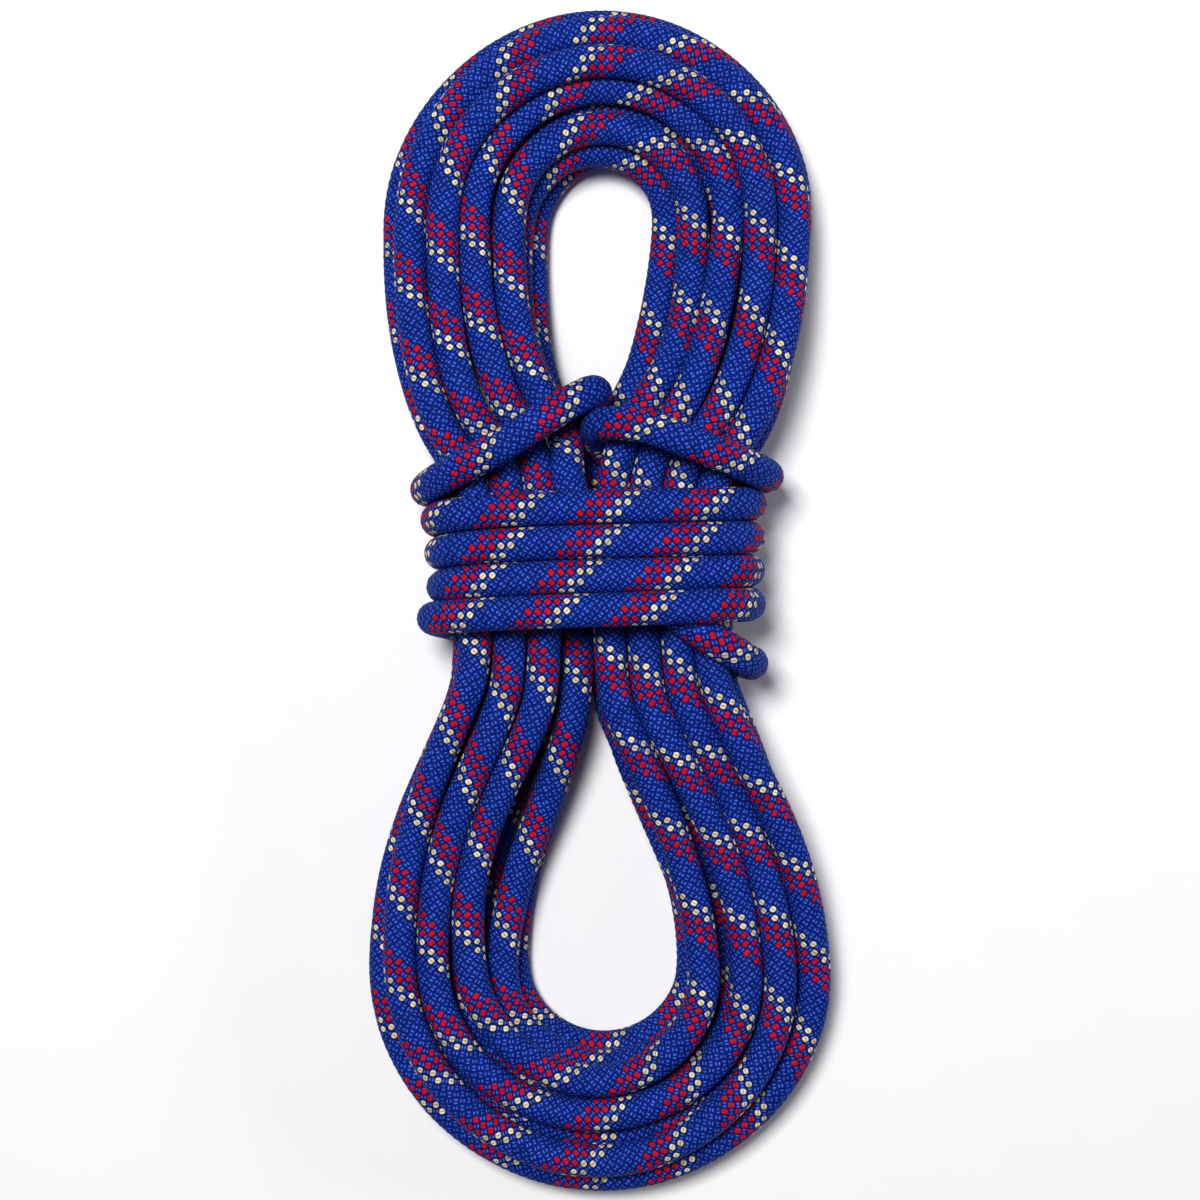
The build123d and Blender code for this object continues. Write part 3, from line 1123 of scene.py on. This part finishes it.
@dataclass
class Hank:
    """The rope's pieces along its settled route."""

    route: HankRoute
    line: Centreline
    wardrobe: Wardrobe
    core_ring_step: float = 3.0 * MM
    core_columns: int = 18
    core_cords: int = 9
    core_relief: float = 0.35 * MM
    frames: Frames = field(init=False)
    ends: list[RopeEnd] = field(init=False)

    def __post_init__(self) -> None:
        """Work out the frames and the two ends."""
        self.frames = Frames(self.line)
        self.ends = [RopeEnd(name, self.line, self.frames) for name in ("start", "tail")]

    def _sheath(self, stretch: Stretch, *nodes: str) -> bpy.types.Object:
        """One stretch of the woven sheath.

        Args:
            stretch: The stretch.
            nodes: The CAD nodes that it stands for.

        Returns:
            The piece.
        """
        first, last = (end.tip_length for end in self.ends)
        begin = max(self.line.distance_at(stretch.first), first)
        end = min(self.line.distance_at(stretch.stop), self.line.length - last)
        count = max(2, round((end - begin) / BRAID.ring_step))
        distances = np.linspace(begin, end, count + 1)
        around = np.arange(BRAID.columns) / BRAID.columns
        weave = BRAID.height(distances[:, None] / BRAID.lay, around[None, :])
        radii = ROPE.radius - BRAID.relief * (1 - weave)
        piece = tube_mesh(f"braid_{stretch.name}", self.frames, distances, radii)
        return self.wardrobe.dress(piece, Slot.SHEATH, *nodes)

    def _core(self) -> bpy.types.Object:
        """The twisted core, in one piece along the whole rope.

        Returns:
            The piece.
        """
        first, last = (end.tip_length for end in self.ends)
        begin, end = first, self.line.length - last
        distances = np.linspace(begin, end, round((end - begin) / self.core_ring_step))
        around = np.arange(self.core_columns) / self.core_columns
        turns = distances[:, None] / BRAID.lay
        twist = np.abs(np.sin(np.pi * (self.core_cords * around[None, :] + turns)))
        radii = ROPE.core_radius - self.core_relief * (1 - twist)
        piece = tube_mesh("rope_core", self.frames, distances, radii)
        close_ends(piece)
        nodes = [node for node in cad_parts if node.startswith("core_")]
        return self.wardrobe.dress(piece, Slot.CORE, *nodes)

    def _close(self, end: RopeEnd) -> list[bpy.types.Object]:
        """The sleeve and the tip of one end."""
        sleeve, tip = end.sleeve(), end.tip()
        return [self.wardrobe.dress(sleeve, Slot.SLEEVE, f"sleeve_{end.name}"),
                self.wardrobe.dress(tip, Slot.TIP, f"tip_{end.name}")]

    def build(self) -> None:
        """Make every piece, and take a few points of the line."""
        *stretches, lock, tail = self.route.stretches()
        sheaths = [self._sheath(stretch, f"sheath_{stretch.name}") for stretch in stretches]
        last = Stretch("last_lock", lock.first, tail.stop)
        sheaths.append(self._sheath(last, f"sheath_{lock.name}", f"sheath_{tail.name}"))
        core = self._core()
        ends = self._close(self.ends[0]) + self._close(self.ends[1])
        path = self.line.path()


@dataclass
class Studio:
    """Floor, lamps, world and a camera that looks straight down."""

    size: Vector
    floor_half: float = 3.0
    world_colour: Colour = (0.95, 0.97, 1.0, 1.0)
    world_strength: float = 0.07
    aimed_at: Vector = field(default_factory=lambda: Vector((0.0, 0.0, 0.02)))
    camera_height: float = 0.78
    sharp_level: float = 0.03
    sensor_width: float = 36.0
    margin: float = 1.042

    def _lamp(self, name: str, place: Sequence[float], size: float, power: float) -> None:
        """Add a soft square lamp that faces the hank.

        Args:
            name: Its name.
            place: Where it stands.
            size: Length of its side, in metres.
            power: Its power in watts.
        """
        data = bpy.data.lights.new(name, "AREA")
        data.shape = "SQUARE"
        data.size = size
        data.energy = power
        lamp = bpy.data.objects.new(name, data)
        lamp.location = Vector(place)
        bpy.context.scene.collection.objects.link(lamp)
        lamp.rotation_euler = (self.aimed_at - lamp.location).to_track_quat("-Z", "Y").to_euler()

    def _floor(self) -> None:
        """Lay the floor."""
        shape = bmesh.new()
        bmesh.ops.create_grid(shape, x_segments=1, y_segments=1, size=self.floor_half)
        mesh = bpy.data.meshes.new("floor")
        shape.to_mesh(mesh)
        shape.free()
        mesh.materials.append(FloorFinish().material())
        floor = bpy.data.objects.new("floor", mesh)
        bpy.context.scene.collection.objects.link(floor)
        floor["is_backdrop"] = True

    def _world(self) -> None:
        """Fill the shadows with a little even light."""
        world = bpy.data.worlds.new("Studio")
        bpy.context.scene.world = world
        world.use_nodes = True
        background = world.node_tree.nodes["Background"]
        background.inputs["Color"].default_value = self.world_colour
        background.inputs["Strength"].default_value = self.world_strength

    def _camera(self) -> None:
        """Hang the camera over the hank, with a lens that fits the hank's length in the frame."""
        data = bpy.data.cameras.new("camera")
        data.sensor_width = self.sensor_width
        distance = self.camera_height - self.sharp_level
        data.lens = self.sensor_width * distance / (self.margin * self.size.y)
        camera = bpy.data.objects.new("camera", data)
        camera.location = (0.0, 0.0, self.camera_height)
        bpy.context.scene.collection.objects.link(camera)
        bpy.context.scene.camera = camera

    def build(self) -> None:
        """Set the whole studio up."""
        self._floor()
        self._world()
        self._lamp("key", (-0.24, 0.3, 1.35), size=0.35, power=19.5)
        self._lamp("rim", (0.95, 0.1, 0.45), size=0.3, power=2.2)
        self._camera()
        bpy.context.scene.view_settings.view_transform = "Standard"


def write_sizes(name: str, store: dict) -> None:
    """Args:
        name: The name.
        store: What the table holds so far.
    """
    store[name] = [list(corner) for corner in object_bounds()]


def main() -> None:
    """Build the hank over the CAD model's middle, and the studio round it."""
    sizes: dict = {}
    write_sizes("cad", sizes)
    low, high = (Vector(corner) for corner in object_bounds())
    route = HankRoute().build()
    points = Settler(np.array(route.points)).settle(steps=260, hold=0.05, sink=0.05 * MM)
    middle = (points.max(axis=0) + points.min(axis=0)) / 2
    points[:, :2] += np.array([(low.x + high.x) / 2, (low.y + high.y) / 2]) - middle[:2]
    line = Centreline(points)
    LOG.info("rope length %.3f m", line.length)
    Hank(route, line, Wardrobe()).build()
    Studio(high - low).build()
    write_sizes("visual", sizes)


if __name__ == "__main__":
    main()
